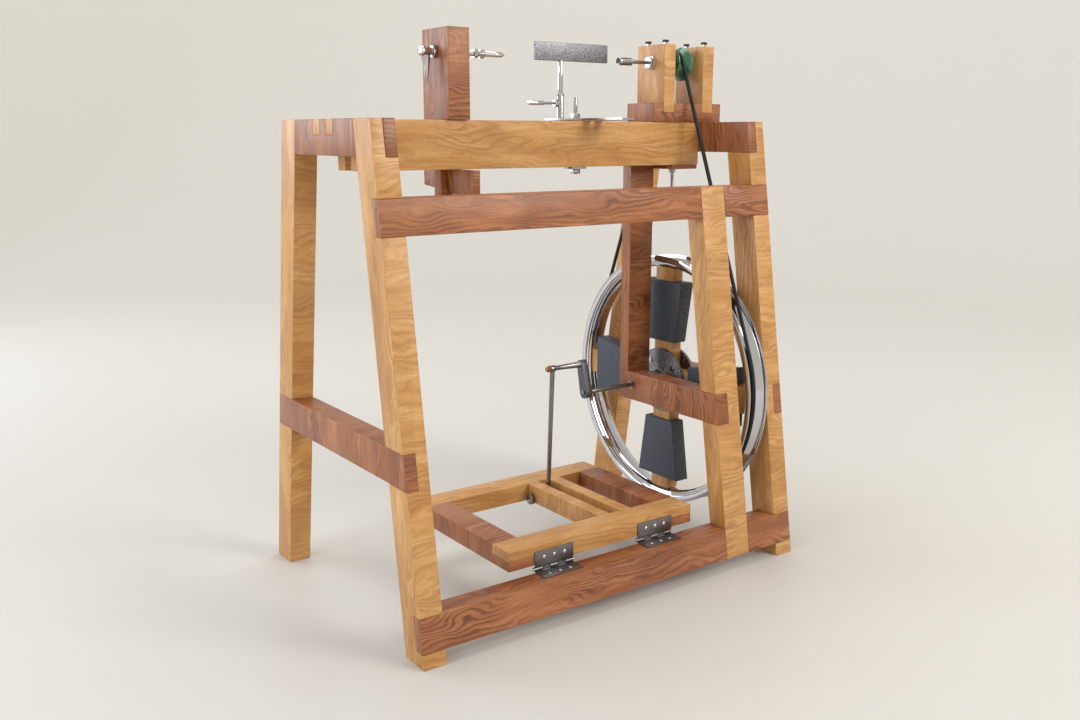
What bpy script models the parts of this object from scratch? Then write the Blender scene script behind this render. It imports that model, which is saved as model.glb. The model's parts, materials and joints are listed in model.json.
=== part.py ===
"""Treadle lathe: a splayed timber frame with a two-rail bed, a weighted flywheel on a crank axle, a round
belt to the headstock spindle, a hinged treadle with its pitman, a wedged tailstock and a tool rest.

Metres, +Z up. X runs along the bed from the tailstock end (-X) to the headstock end (+X). The turner stands
at +Y; the two long stretchers and the wheel post are on the -Y side. The origin is at floor level, in the
middle of the whole machine.
"""
import math

import bmesh
import bpy
from mathutils import Matrix, Vector

# ---------------------------------------------------------------- driving dimensions
GAP = 0.0003  # between two pieces that touch
HEIGHT = 1.000  # top of the bed and of the legs
FRAME_LENGTH = 0.998
HEAD_OVERHANG = 0.016  # the headstock base runs past the frame's end
X_LEFT = -(FRAME_LENGTH + HEAD_OVERHANG) / 2
X_RIGHT = X_LEFT + FRAME_LENGTH

TOP_HALF = 0.201  # half the frame's depth at bed height
SPLAY = 0.149  # how far the legs spread outwards for each metre down
LEG_X = 0.050
LEG_Y = 0.070
LAP = 0.024  # what the stretchers keep where they cross a leg or the wheel post

TOP_RAIL_LOW = 0.931
SIDE_RAIL_Z = (0.332, 0.401)
UPPER_Z = (0.790, 0.858)
LOWER_Z = (0.029, 0.097)
STRETCHER_Y = 0.052

BED_GAP = 0.027
BED_THICK = 0.031
BED_LOW = 0.901
TENON_LOW = 0.970
BED_HALF = BED_GAP / 2 + BED_THICK

POST_X = (X_LEFT + 0.7885, X_LEFT + 0.8585)  # wheel post and hanging post
POST_Y = 0.050
POST_LAP = 0.035  # what the bearing rail keeps where it crosses them

AXLE_Z = 0.370
AXLE_R = 0.008
AXLE_NECK_R = 0.005  # between the crank and the bearing rail
WHEEL_X = X_LEFT + 0.906
RIM_R = 0.311
RIM_HALF = 0.030
BELT_ON_WHEEL = 0.2955
BELT_R = 0.0045
SPOKE_HALF = 0.031
SPOKE_THICK = 0.032
HUB_R = 0.080
WEIGHT_R = (0.100, 0.250)
WEIGHT_HALF = (0.049, 0.0715)
WEIGHT_THICK = 0.040

CRANK_X = (X_LEFT + 0.640, X_LEFT + 0.656)
CRANK_THROW = 0.068
CRANK_LEAN = math.radians(14)  # from upright towards the turner
PITMAN_X = X_LEFT + 0.560
PITMAN_HALF = 0.006

TREADLE_X = (X_LEFT + 0.235, X_LEFT + 0.731)
TREADLE_Y = (-0.281, 0.114)
TREADLE_Z = (0.112, 0.154)
TREADLE_BAR = 0.062
CENTRE_BAR = 0.030
HINGE_Y = -0.279
HINGE_Z = 0.1025
BARREL_R = 0.0045
PIN_R = 0.002
LEAF = 0.002
LEAF_HALF = 0.049
HINGE_X = (X_LEFT + 0.347, X_LEFT + 0.622)
PIVOT_Y = 0.033
PIVOT_Z = 0.121
PIVOT_R = 0.004

SPINDLE_Z = 1.135
PULLEY_X = WHEEL_X
PULLEY_R = 0.039
PULLEY_HALF = 0.0215
BELT_ON_PULLEY = 0.0265
HEAD_X = (X_LEFT + 0.801, X_LEFT + 1.014)
HEAD_HALF = 0.0475
HEAD_BASE_TOP = 1.043
HEAD_TOP = 1.175
UPRIGHT_X = ((X_LEFT + 0.831, X_LEFT + 0.865), (X_LEFT + 0.953, X_LEFT + 0.987))
DADO_Z = 1.022

TAIL_X = (X_LEFT + 0.2515, X_LEFT + 0.3015)
TAIL_HALF = 0.052
TAIL_TOP = 1.181
TAIL_TENON_LOW = 0.800
SCREW_R = 0.006
WEDGE_X = (X_LEFT + 0.268, X_LEFT + 0.285)
WEDGE_Y = (-0.113, 0.086)
WEDGE_LOW = (0.844, 0.866)

REST_BOLT = Vector((X_LEFT + 0.610, 0.0, 0.0))
REST_TURN = math.radians(18)  # the base plate's turn away from square to the bed
REST_POST = 0.042  # from the bolt to the tool post, along the plate
PLATE_END = 0.139  # from the bolt to the plate's far end
PLATE_HALF = 0.025
PLATE_THICK = 0.006
POST_R = 0.006
SOCKET_R = 0.0085
SOCKET_TOP = 1.062
TEE_LENGTH = (-0.070, 0.132)  # either side of the post
TEE_Z = (1.132, 1.172)
TEE_THICK = 0.009

OAK = (0.58, 0.34, 0.13)
RED = (0.36, 0.15, 0.075)
STEEL = (0.45, 0.45, 0.46)
CHROME = (0.75, 0.76, 0.78)
SLATE = (0.055, 0.07, 0.085)


# ---------------------------------------------------------------- tools
def clear_scene():
    for thing in list(bpy.data.objects):
        bpy.data.objects.remove(thing, do_unlink=True)


def finish_material(name, colour, roughness, metallic):
    mat = bpy.data.materials.new(name)
    mat.use_nodes = True
    shader = mat.node_tree.nodes["Principled BSDF"]
    shader.inputs["Base Color"].default_value = (*colour, 1.0)
    shader.inputs["Roughness"].default_value = roughness
    shader.inputs["Metallic"].default_value = metallic
    return mat


def to_object(name, bm, colour=OAK, roughness=0.55, metallic=0.0):
    bmesh.ops.recalc_face_normals(bm, faces=bm.faces)
    mesh = bpy.data.meshes.new(name)
    bm.to_mesh(mesh)
    bm.free()
    mesh.materials.append(finish_material(name + "_finish", colour, roughness, metallic))
    thing = bpy.data.objects.new(name, mesh)
    bpy.context.collection.objects.link(thing)
    return thing


def metal(name, bm, colour=STEEL, roughness=0.35):
    thing = to_object(name, bm, colour, roughness, 1.0)
    thing.data.shade_smooth()
    thing.data.set_sharp_from_angle(angle=math.radians(35))
    return thing


def prism(outline, place, low, high):
    """A closed outline of (a, b) pairs swept from low to high; place(a, b, t) gives each corner's position."""
    bm = bmesh.new()
    ends = [[bm.verts.new(place(a, b, t)) for a, b in outline] for t in (low, high)]
    count = len(outline)
    bm.faces.new(ends[0])
    bm.faces.new(list(reversed(ends[1])))
    for i in range(count):
        j = (i + 1) % count
        bm.faces.new((ends[0][i], ends[1][i], ends[1][j], ends[0][j]))
    return bm


def along_x(y, z, x):
    return Vector((x, y, z))


def along_y(x, z, y):
    return Vector((x, y, z))


def along_z(x, y, z):
    return Vector((x, y, z))


def outer_face(z):
    """How far from the middle the legs' outer faces are at a height."""
    return TOP_HALF + SPLAY * (HEIGHT - z)


def leaning(x, depth, z, side):
    """A point by its depth behind the legs' outer face, on the rear (side -1) or the front (side 1)."""
    return Vector((x, side * (outer_face(z) - depth), z))


def rect(a, b):
    return [(a[0], b[0]), (a[1], b[0]), (a[1], b[1]), (a[0], b[1])]


def box(x, y, z):
    return prism(rect(x, y), along_z, *z)


def leaning_box(x, depth, z, side):
    return prism(rect(x, depth), lambda a, d, h: leaning(a, d, h, side), *z)


def turned(profile, place, segments=32, ring=False):
    """Spins (along, radius) points round a line. A ring's outline closes on itself; a solid's starts and
    ends on the axis. place(along, a, b) gives a position."""
    bm = bmesh.new()
    angles = [2 * math.pi * i / segments for i in range(segments)]
    loops = []
    for along, radius in profile:
        if radius == 0:
            loops.append([bm.verts.new(place(along, 0, 0))])
        else:
            loops.append([bm.verts.new(place(along, radius * math.cos(t), radius * math.sin(t)))
                          for t in angles])
    pairs = list(zip(loops, loops[1:]))
    if ring:
        pairs.append((loops[-1], loops[0]))
    for one, two in pairs:
        for i in range(segments):
            j = (i + 1) % segments
            corners = [one[i % len(one)], one[j % len(one)], two[j % len(two)], two[i % len(two)]]
            bm.faces.new(list(dict.fromkeys(corners)))
    return bm


def about_x(y, z):
    return lambda along, a, b: Vector((along, y + a, z + b))


def about_z(x, y):
    return lambda along, a, b: Vector((x + a, y + b, along))


def rod(ends, radius):
    return [(ends[0], 0), (ends[0], radius), (ends[1], radius), (ends[1], 0)]


def rod_x(ends, y, z, radius, segments=32):
    return turned(rod(ends, radius), about_x(y, z), segments)


def rod_z(ends, x, y, radius, segments=32):
    return turned(rod(ends, radius), about_z(x, y), segments)


def hexagon(across):
    radius = across / math.sqrt(3)
    return [(radius * math.cos(math.radians(60 * i)), radius * math.sin(math.radians(60 * i))) for i in range(6)]


def combine(thing, bm, operation):
    """Adds a Boolean with the EXACT solver; the second shape stays as a hidden guide."""
    tool = to_object(f"{thing.name}_tool_{len(thing.modifiers)}", bm)
    tool.hide_render = True
    tool.display_type = "WIRE"
    step = thing.modifiers.new(operation.title(), "BOOLEAN")
    step.operation = operation
    step.solver = "EXACT"
    step.object = tool
    return thing


def cut(thing, bm):
    return combine(thing, bm, "DIFFERENCE")


def join(thing, bm):
    return combine(thing, bm, "UNION")


def ease(thing, width=0.0008):
    """Takes the sharp corner off every timber edge."""
    step = thing.modifiers.new("Eased edges", "BEVEL")
    step.width = width
    step.segments = 1
    step.limit_method = "ANGLE"
    step.angle_limit = math.radians(40)
    return thing


def shift_origin(thing, point):
    """Puts a moving piece's origin on its joint."""
    point = Vector(point)
    thing.data.transform(Matrix.Translation(-point))
    thing.location = point
    for step in thing.modifiers:
        if step.type == "BOOLEAN":
            step.object.data.transform(Matrix.Translation(-point))
            step.object.location = point
    return thing


# ---------------------------------------------------------------- frame
def make_legs():
    low, high = SIDE_RAIL_Z
    for side, row in ((-1, "rear"), (1, "front")):
        for end, hand in ((X_LEFT, "left"), (X_RIGHT, "right")):
            inward = 1 if hand == "left" else -1
            outer, middle, inner = end, end + inward * LEG_X / 2, end + inward * LEG_X
            lap = middle + inward * GAP  # the side rail is laid into the outer half
            housing = middle - inward * GAP  # the top rail is laid into the inner half
            outline = [(outer, 0), (inner, 0), (inner, TOP_RAIL_LOW - GAP), (housing, TOP_RAIL_LOW - GAP),
                       (housing, HEIGHT), (outer, HEIGHT), (outer, high + GAP), (lap, high + GAP),
                       (lap, low - GAP), (outer, low - GAP)]
            bm = prism(outline, lambda x, z, d: leaning(x, d, z, side), 0, LEG_Y)
            leg = to_object(f"leg_{row}_{hand}", bm, OAK)
            if side == -1:
                span = (min(outer, inner) - 0.01, max(outer, inner) + 0.01)
                for z in (UPPER_Z, LOWER_Z):
                    cut(leg, leaning_box(span, (-0.01, LAP + GAP), (z[0] - GAP, z[1] + GAP), side))
            ease(leg)


def cross_rail(name, x, z, laps, colour):
    """A rail from the rear legs to the front ones with ends that follow the splay, lapped at each leg."""
    low, high = z
    outline = [(-outer_face(low), low), (outer_face(low), low), (outer_face(high), high),
               (-outer_face(high), high)]
    rail = to_object(name, prism(outline, along_x, *x), colour)
    for side in (-1, 1):
        cut(rail, leaning_box(laps, (-0.01, LEG_Y + GAP), (low - 0.01, high + 0.01), side))
    return rail


def make_side_rails():
    for hand, end, inward in (("left", X_LEFT, 1), ("right", X_RIGHT, -1)):
        faces = sorted((end, end + inward * LEG_X))
        middle = end + inward * LEG_X / 2
        inner_half = sorted((middle, end + inward * (LEG_X + 0.01)))
        outer_half = sorted((middle, end - inward * 0.01))
        side = cross_rail(f"side_rail_{hand}", faces, SIDE_RAIL_Z, inner_half, RED)
        if hand == "right":
            reach = (faces[0] - 0.01, faces[1] + 0.01)
            cut(side, rod_x(reach, 0, AXLE_Z, AXLE_R + 0.0005))
        ease(side)
        top = cross_rail(f"top_rail_{hand}", faces, (TOP_RAIL_LOW, HEIGHT), outer_half, RED)
        for y in (-1, 1):
            slot = sorted((y * (BED_GAP / 2 - GAP), y * (BED_HALF + GAP)))
            cut(top, box((faces[0] - 0.01, faces[1] + 0.01), slot, (TENON_LOW - GAP, HEIGHT + 0.01)))
        ease(top)


def make_bed():
    shoulder = (X_LEFT + LEG_X + GAP, X_RIGHT - LEG_X - GAP)
    outline = [(shoulder[0], BED_LOW), (shoulder[1], BED_LOW), (shoulder[1], TENON_LOW),
               (X_RIGHT, TENON_LOW), (X_RIGHT, HEIGHT), (X_LEFT, HEIGHT), (X_LEFT, TENON_LOW),
               (shoulder[0], TENON_LOW)]
    for side, row in ((-1, "rear"), (1, "front")):
        faces = sorted((side * BED_GAP / 2, side * BED_HALF))
        ease(to_object(f"bed_rail_{row}", prism(outline, along_y, *faces), OAK))


def make_stretchers():
    """Lapped over the rear legs, and notched from outside for the wheel post."""
    inner = (X_LEFT + LEG_X + GAP, X_RIGHT - LEG_X - GAP)
    post = (POST_X[0] - GAP, POST_X[1] + GAP)
    outline = [(X_LEFT, 0), (post[0], 0), (post[0], LAP), (post[1], LAP), (post[1], 0), (X_RIGHT, 0),
               (X_RIGHT, LAP), (inner[1], LAP), (inner[1], STRETCHER_Y), (inner[0], STRETCHER_Y),
               (inner[0], LAP), (X_LEFT, LAP)]
    for name, z in (("stretcher_upper", UPPER_Z), ("stretcher_lower", LOWER_Z)):
        ease(to_object(name, prism(outline, lambda x, d, h: leaning(x, d, h, -1), *z), RED))


def make_wheel_post():
    bottom, top = LOWER_Z[0], UPPER_Z[1]
    outline = [(0, bottom), (LAP - GAP, bottom), (LAP - GAP, LOWER_Z[1] + GAP), (POST_Y, LOWER_Z[1] + GAP),
               (POST_Y, UPPER_Z[0] - GAP), (LAP - GAP, UPPER_Z[0] - GAP), (LAP - GAP, top), (0, top)]
    post = to_object("wheel_post", prism(outline, lambda d, z, x: leaning(x, d, z, -1), *POST_X), OAK)
    notch = (POST_X[0] - 0.01, POST_X[0] + POST_LAP + GAP)
    low, high = SIDE_RAIL_Z
    cut(post, leaning_box(notch, (-0.01, POST_Y + 0.01), (low - GAP, high + GAP), -1))
    ease(post)


def make_hanging_post():
    low, high = SIDE_RAIL_Z
    step = POST_X[0] + POST_LAP + GAP
    outline = [(step, low), (POST_X[1], low), (POST_X[1], BED_LOW - GAP), (POST_X[0], BED_LOW - GAP),
               (POST_X[0], high + GAP), (step, high + GAP)]
    ease(to_object("hanging_post", prism(outline, along_y, BED_GAP / 2, BED_HALF), RED))


def make_bearing_rail():
    low, high = SIDE_RAIL_Z
    x = (POST_X[0], POST_X[0] + LEG_X)
    outline = [(-outer_face(low), low), (BED_HALF, low), (BED_HALF, high), (-outer_face(high), high)]
    rail = to_object("bearing_rail", prism(outline, along_x, *x), RED)
    lap = (POST_X[0] + POST_LAP, x[1] + 0.01)
    cut(rail, leaning_box(lap, (-0.01, POST_Y + GAP), (low - 0.01, high + 0.01), -1))
    cut(rail, box(lap, (BED_GAP / 2 - GAP, BED_HALF + 0.01), (low - 0.01, high + 0.01)))
    bush_r = AXLE_R + 0.004
    cut(rail, rod_x((x[0] - 0.01, x[1] + 0.01), 0, AXLE_Z, bush_r + GAP))
    ease(rail)
    profile = [(x[0] - 0.001, AXLE_R + 0.0005), (x[0] - 0.001, bush_r), (x[1] + 0.001, bush_r),
               (x[1] + 0.001, AXLE_R + 0.0005)]
    metal("axle_bush", turned(profile, about_x(0, AXLE_Z), 32, ring=True), (0.55, 0.40, 0.16))


# ---------------------------------------------------------------- flywheel
def on_wheel(thing):
    return shift_origin(thing, (WHEEL_X, 0, AXLE_Z))


def make_rim():
    half = [(0.0300, 0.3110), (0.0270, 0.3110), (0.0240, 0.3010), (0.0070, 0.2900)]
    inner = [(0.0100, 0.2830), (0.0200, 0.2920), (0.0300, 0.2980)]
    outline = [(WHEEL_X + x, r) for x, r in half]
    outline += [(WHEEL_X - x, r) for x, r in reversed(half)]
    outline += [(WHEEL_X - x, r) for x, r in reversed(inner)]
    outline += [(WHEEL_X + x, r) for x, r in inner]
    on_wheel(metal("wheel_rim", turned(outline, about_x(0, AXLE_Z), 72, ring=True), CHROME, 0.08))


def spoke_outline():
    """A bar across the wheel whose ends are rounded to the rim."""
    reach = 0.2825
    half = math.asin(SPOKE_HALF / reach)
    steps = 6
    end = [(reach * math.sin(-half + 2 * half * i / steps), reach * math.cos(-half + 2 * half * i / steps))
           for i in range(steps + 1)]
    return end + [(-a, -b) for a, b in end]


def make_spokes():
    face = (WHEEL_X - SPOKE_THICK / 2, WHEEL_X + SPOKE_THICK / 2)
    across = (-SPOKE_HALF - GAP, SPOKE_HALF + GAP)
    keep = {"spoke_upright": (WHEEL_X, face[1] + 0.01), "spoke_level": (face[0] - 0.01, WHEEL_X + GAP)}
    for name, removed in keep.items():
        if name == "spoke_upright":
            bm = prism(spoke_outline(), lambda a, b, x: Vector((x, a, AXLE_Z + b)), *face)
        else:
            bm = prism(spoke_outline(), lambda a, b, x: Vector((x, b, AXLE_Z + a)), *face)
        spoke = to_object(name, bm, (0.40, 0.25, 0.10))
        cut(spoke, box(removed, across, (AXLE_Z + across[0], AXLE_Z + across[1])))
        cut(spoke, rod_x((face[0] - 0.01, face[1] + 0.01), 0, AXLE_Z, AXLE_R + GAP))
        on_wheel(ease(spoke))


def make_weights():
    """Four tapered blocks, each with a channel in its back that sits over a spoke."""
    front = WHEEL_X - SPOKE_THICK / 2 - 0.010
    channel = WHEEL_X - SPOKE_THICK / 2 - GAP
    inner, outer = WEIGHT_R
    narrow, wide = WEIGHT_HALF
    slot = SPOKE_HALF + GAP
    for index, name in enumerate(("front", "top", "rear", "bottom")):
        turn = Matrix.Rotation(index * math.pi / 2, 4, "X")
        centre = Vector((0, 0, AXLE_Z))

        def place(a, b, x, turn=turn, centre=centre):
            return turn @ Vector((x, b, a)) + centre

        outline = [(-narrow, inner), (narrow, inner), (wide, outer), (-wide, outer)]
        block = to_object(f"weight_{name}", prism(outline, place, front, front + WEIGHT_THICK), SLATE, 0.5)
        groove = [(-slot, inner - 0.01), (slot, inner - 0.01), (slot, outer + 0.01), (-slot, outer + 0.01)]
        cut(block, prism(groove, place, channel, front + WEIGHT_THICK + 0.01))
        on_wheel(ease(block, 0.0012))


def make_hub():
    for name, x in (("hub_plate_left", WHEEL_X - SPOKE_THICK / 2 - GAP - 0.004),
                    ("hub_plate_right", WHEEL_X + SPOKE_THICK / 2 + GAP + 0.004)):
        profile = [(x - 0.004, AXLE_R + GAP), (x - 0.004, HUB_R), (x + 0.004, HUB_R),
                   (x + 0.004, AXLE_R + GAP)]
        on_wheel(metal(name, turned(profile, about_x(0, AXLE_Z), 48, ring=True)))


def make_axle():
    collar = X_RIGHT + 0.001
    neck = POST_X[0] - 0.004
    profile = [(CRANK_X[0] - 0.003, 0), (CRANK_X[0] - 0.003, AXLE_NECK_R), (neck, AXLE_NECK_R),
               (neck, AXLE_R), (collar, AXLE_R), (collar, 0.014),
               (collar + 0.009, 0.014), (collar + 0.009, 0)]
    on_wheel(metal("axle", turned(profile, about_x(0, AXLE_Z), 32)))


def crank_centre():
    return (CRANK_THROW * math.sin(CRANK_LEAN), AXLE_Z + CRANK_THROW * math.cos(CRANK_LEAN))


def arc(centre, radius, start, end, steps):
    """Points round a centre from one angle to another, measured from +Y towards +Z."""
    return [(centre[0] + radius * math.cos(start + (end - start) * i / steps),
             centre[1] + radius * math.sin(start + (end - start) * i / steps)) for i in range(steps + 1)]


def make_crank():
    """An arm with a boss on the axle and a narrower end, and the pin that carries the pitman."""
    pin_y, pin_z = crank_centre()
    boss, tip = 0.0145, 0.0105
    up = math.pi / 2 - CRANK_LEAN
    half = math.acos((boss - tip) / CRANK_THROW)
    outline = arc((0, AXLE_Z), boss, up + half, up + 2 * math.pi - half, 20)
    outline += arc((pin_y, pin_z), tip, up - half, up + half, 12)
    arm = metal("crank_arm", prism(outline, along_x, *CRANK_X), (0.30, 0.31, 0.33), 0.4)
    join(arm, rod_x((PITMAN_X + PITMAN_HALF + 0.0007, CRANK_X[0] + 0.004), pin_y, pin_z, 0.0055, 24))
    cut(arm, rod_x((CRANK_X[0] - 0.01, CRANK_X[1] + 0.01), 0, AXLE_Z, AXLE_NECK_R + GAP))
    on_wheel(arm)


def make_belt():
    """A closed round belt: two arcs and two straight runs, just clear of both grooves."""
    lean = math.asin((BELT_ON_WHEEL - BELT_ON_PULLEY) / (SPINDLE_Z - AXLE_Z))
    points = arc((0, AXLE_Z), BELT_ON_WHEEL, math.pi - lean, 2 * math.pi + lean, 60)
    points += arc((0, SPINDLE_Z), BELT_ON_PULLEY, lean, math.pi - lean, 12)
    curve = bpy.data.curves.new("drive_belt", "CURVE")
    curve.dimensions = "3D"
    curve.bevel_depth = BELT_R
    curve.bevel_resolution = 2
    spline = curve.splines.new("POLY")
    spline.points.add(len(points) - 1)
    for point, (y, z) in zip(spline.points, points):
        point.co = (WHEEL_X, y, z, 1)
    spline.use_cyclic_u = True
    curve.materials.append(finish_material("belt_finish", (0.012, 0.012, 0.013), 0.6, 0.0))
    belt = bpy.data.objects.new("drive_belt", curve)
    bpy.context.collection.objects.link(belt)


# ---------------------------------------------------------------- treadle and pitman
def on_treadle(thing):
    return shift_origin(thing, (0, HINGE_Y, HINGE_Z))


def make_treadle():
    """Rear and front bars with the side bars lapped into them, and two centre bars with a slot between."""
    x0, x1 = TREADLE_X
    y0, y1 = TREADLE_Y
    low, high = TREADLE_Z
    middle = (low + high) / 2
    side_l, side_r = (x0, x0 + TREADLE_BAR), (x1 - TREADLE_BAR, x1)
    for name, y in (("treadle_bar_rear", (y0, y0 + TREADLE_BAR)), ("treadle_bar_front", (y1 - TREADLE_BAR, y1))):
        bar = to_object(name, box((x0, x1), y, (low, high)), OAK)
        for side in (side_l, side_r):
            cut(bar, box((side[0] - 0.01, side[1] + GAP) if side is side_l else (side[0] - GAP, side[1] + 0.01),
                         (y[0] - 0.01, y[1] + 0.01), (low - 0.01, middle)))
        on_treadle(ease(bar))
    for name, x in (("treadle_bar_left", side_l), ("treadle_bar_right", side_r)):
        bar = to_object(name, box(x, (y0, y1), (low, high)), RED)
        for y in ((y0 - 0.01, y0 + TREADLE_BAR + GAP), (y1 - TREADLE_BAR - GAP, y1 + 0.01)):
            cut(bar, box((x[0] - 0.01, x[1] + 0.01), y, (middle - GAP, high + 0.01)))
        on_treadle(ease(bar))
    slot = 0.031
    inner_y = (y0 + TREADLE_BAR + GAP, y1 - TREADLE_BAR - GAP)
    for name, x in (("centre_bar_left", (PITMAN_X - slot / 2 - CENTRE_BAR, PITMAN_X - slot / 2)),
                    ("centre_bar_right", (PITMAN_X + slot / 2, PITMAN_X + slot / 2 + CENTRE_BAR))):
        bar = to_object(name, box(x, inner_y, (low, high)), OAK)
        cut(bar, rod_x((x[0] - 0.01, x[1] + 0.01), PIVOT_Y, PIVOT_Z, PIVOT_R + GAP, 24))
        on_treadle(ease(bar))
    reach = slot / 2 + CENTRE_BAR + GAP
    profile = [(PITMAN_X - reach - 0.011, 0), (PITMAN_X - reach - 0.011, 0.013), (PITMAN_X - reach, 0.013),
               (PITMAN_X - reach, PIVOT_R), (PITMAN_X + reach, PIVOT_R), (PITMAN_X + reach, 0.0085),
               (PITMAN_X + reach + 0.006, 0.0085), (PITMAN_X + reach + 0.006, 0)]
    on_treadle(metal("pitman_bolt", turned(profile, about_x(PIVOT_Y, PIVOT_Z), 24), (0.18, 0.18, 0.19)))


def make_hinges():
    """Two butt hinges with five knuckles each; the lower leaf carries the pin."""
    knuckle = 2 * LEAF_HALF / 5
    for index, x in enumerate(HINGE_X, 1):
        edges = [x - LEAF_HALF + knuckle * i for i in range(6)]
        spans = [(edges[i] + GAP, edges[i + 1] - GAP) for i in range(5)]
        top = LOWER_Z[1] + GAP
        back = HINGE_Y - BARREL_R - GAP - 0.0007
        lower = metal(f"hinge_leaf_lower_{index}",
                      box((edges[0], edges[5]), (HINGE_Y - 0.039, back), (top, top + LEAF)))
        upper_face = TREADLE_Y[0] - GAP
        upper = metal(f"hinge_leaf_upper_{index}",
                      box((edges[0], edges[5]), (upper_face - LEAF, upper_face),
                          (HINGE_Z + BARREL_R + GAP + 0.0007, HINGE_Z + 0.039)))
        for i, span in enumerate(spans):
            barrel = rod_x(span, HINGE_Y, HINGE_Z, BARREL_R, 16)
            if i % 2 == 0:
                join(lower, barrel)
                join(lower, box(span, (back - 0.002, HINGE_Y), (top, top + LEAF)))
            else:
                join(upper, barrel)
                join(upper, box(span, (upper_face - LEAF, upper_face), (HINGE_Z, HINGE_Z + BARREL_R + 0.004)))
        join(lower, rod_x((edges[0] + 0.001, edges[5] - 0.001), HINGE_Y, HINGE_Z, PIN_R, 16))
        cut(upper, rod_x((edges[0] - 0.01, edges[5] + 0.01), HINGE_Y, HINGE_Z, PIN_R + GAP, 16))
        on_treadle(upper)


def make_pitman():
    """A tapered round rod from the crank pin to the treadle bolt, with a flat eye at each end."""
    top_y, top_z = crank_centre()
    length = math.hypot(top_y - PIVOT_Y, top_z - PIVOT_Z)
    lean = math.atan2(top_y - PIVOT_Y, top_z - PIVOT_Z)
    turn = Matrix.Rotation(-lean, 4, "X")
    start = Vector((PITMAN_X, PIVOT_Y, PIVOT_Z))

    def place(along, a, b):
        return start + turn @ Vector((a, b, along))

    rod_shape = turned([(0.004, 0), (0.004, 0.0050), (length - 0.004, 0.0058), (length - 0.004, 0)], place, 20)
    pitman = metal("pitman", rod_shape, (0.30, 0.30, 0.31))
    faces = (PITMAN_X - PITMAN_HALF, PITMAN_X + PITMAN_HALF)
    join(pitman, rod_x(faces, PIVOT_Y, PIVOT_Z, 0.009, 24))
    join(pitman, rod_x(faces, top_y, top_z, 0.0078, 24))
    cut(pitman, rod_x((faces[0] - 0.01, faces[1] + 0.01), PIVOT_Y, PIVOT_Z, PIVOT_R + 0.0005, 20))
    cut(pitman, rod_x((faces[0] - 0.01, faces[1] + 0.01), top_y, top_z, 0.0053, 20))
    shift_origin(pitman, start)
    nut = [(faces[0] - 0.012, 0), (faces[0] - 0.012, 0.0035), (faces[0] - 0.008, 0.0035),
           (faces[0] - 0.008, 0.0072), (faces[0] - 0.002, 0.0072), (faces[0] - 0.002, 0.0085),
           (faces[0] - GAP, 0.0085), (faces[0] - GAP, 0.0050), (faces[1] - 0.001, 0.0050),
           (faces[1] - 0.001, 0)]
    shift_origin(metal("crank_nut", turned(nut, about_x(top_y, top_z), 24)), start)


# ---------------------------------------------------------------- headstock
def make_headstock():
    base = to_object("headstock_base", box(HEAD_X, (-HEAD_HALF, HEAD_HALF), (HEIGHT + GAP, HEAD_BASE_TOP)), RED)
    for x in UPRIGHT_X:
        cut(base, box((x[0] - GAP, x[1] + GAP), (-HEAD_HALF - 0.01, HEAD_HALF + 0.01),
                      (DADO_Z - GAP, HEAD_BASE_TOP + 0.01)))
    bolt_x = WHEEL_X
    cut(base, rod_z((HEIGHT - 0.01, HEAD_BASE_TOP + 0.01), bolt_x, 0, 0.0053, 20))
    ease(base)
    for hand, x in zip(("left", "right"), UPRIGHT_X):
        bm = box(x, (-HEAD_HALF, HEAD_HALF), (DADO_Z, HEAD_TOP))
        upright = to_object(f"headstock_upright_{hand}", bm, OAK)
        cut(upright, rod_x((x[0] - 0.01, x[1] + 0.01), 0, SPINDLE_Z, 0.0103))
        ease(upright)
        outside, sign = (x[0], 1) if hand == "left" else (x[1], -1)
        profile = [(outside - sign * 0.004, 0.0065), (outside - sign * 0.004, 0.017),
                   (outside - sign * GAP, 0.017), (outside - sign * GAP, 0.010),
                   (outside + sign * 0.032, 0.010), (outside + sign * 0.032, 0.0065)]
        metal(f"spindle_bearing_{hand}", turned(profile, about_x(0, SPINDLE_Z), 32, ring=True))
    board = to_object("clamp_board", box((bolt_x - 0.039, bolt_x + 0.039), (-BED_HALF, BED_HALF),
                                         (BED_LOW - 0.010, BED_LOW - GAP)), RED)
    cut(board, rod_z((BED_LOW - 0.02, BED_LOW + 0.01), bolt_x, 0, 0.0053, 20))
    ease(board)
    low = BED_LOW - 0.010 - GAP
    profile = [(0.838, 0), (0.838, 0.005), (low - 0.008, 0.005), (low - 0.008, 0.0085), (low, 0.0085),
               (low, 0.005), (HEAD_BASE_TOP + GAP, 0.005), (HEAD_BASE_TOP + GAP, 0.009),
               (HEAD_BASE_TOP + 0.007, 0.009), (HEAD_BASE_TOP + 0.007, 0)]
    metal("headstock_bolt", turned(profile, about_z(bolt_x, 0), 24))


def on_spindle(thing):
    return shift_origin(thing, (PULLEY_X, 0, SPINDLE_Z))


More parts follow.
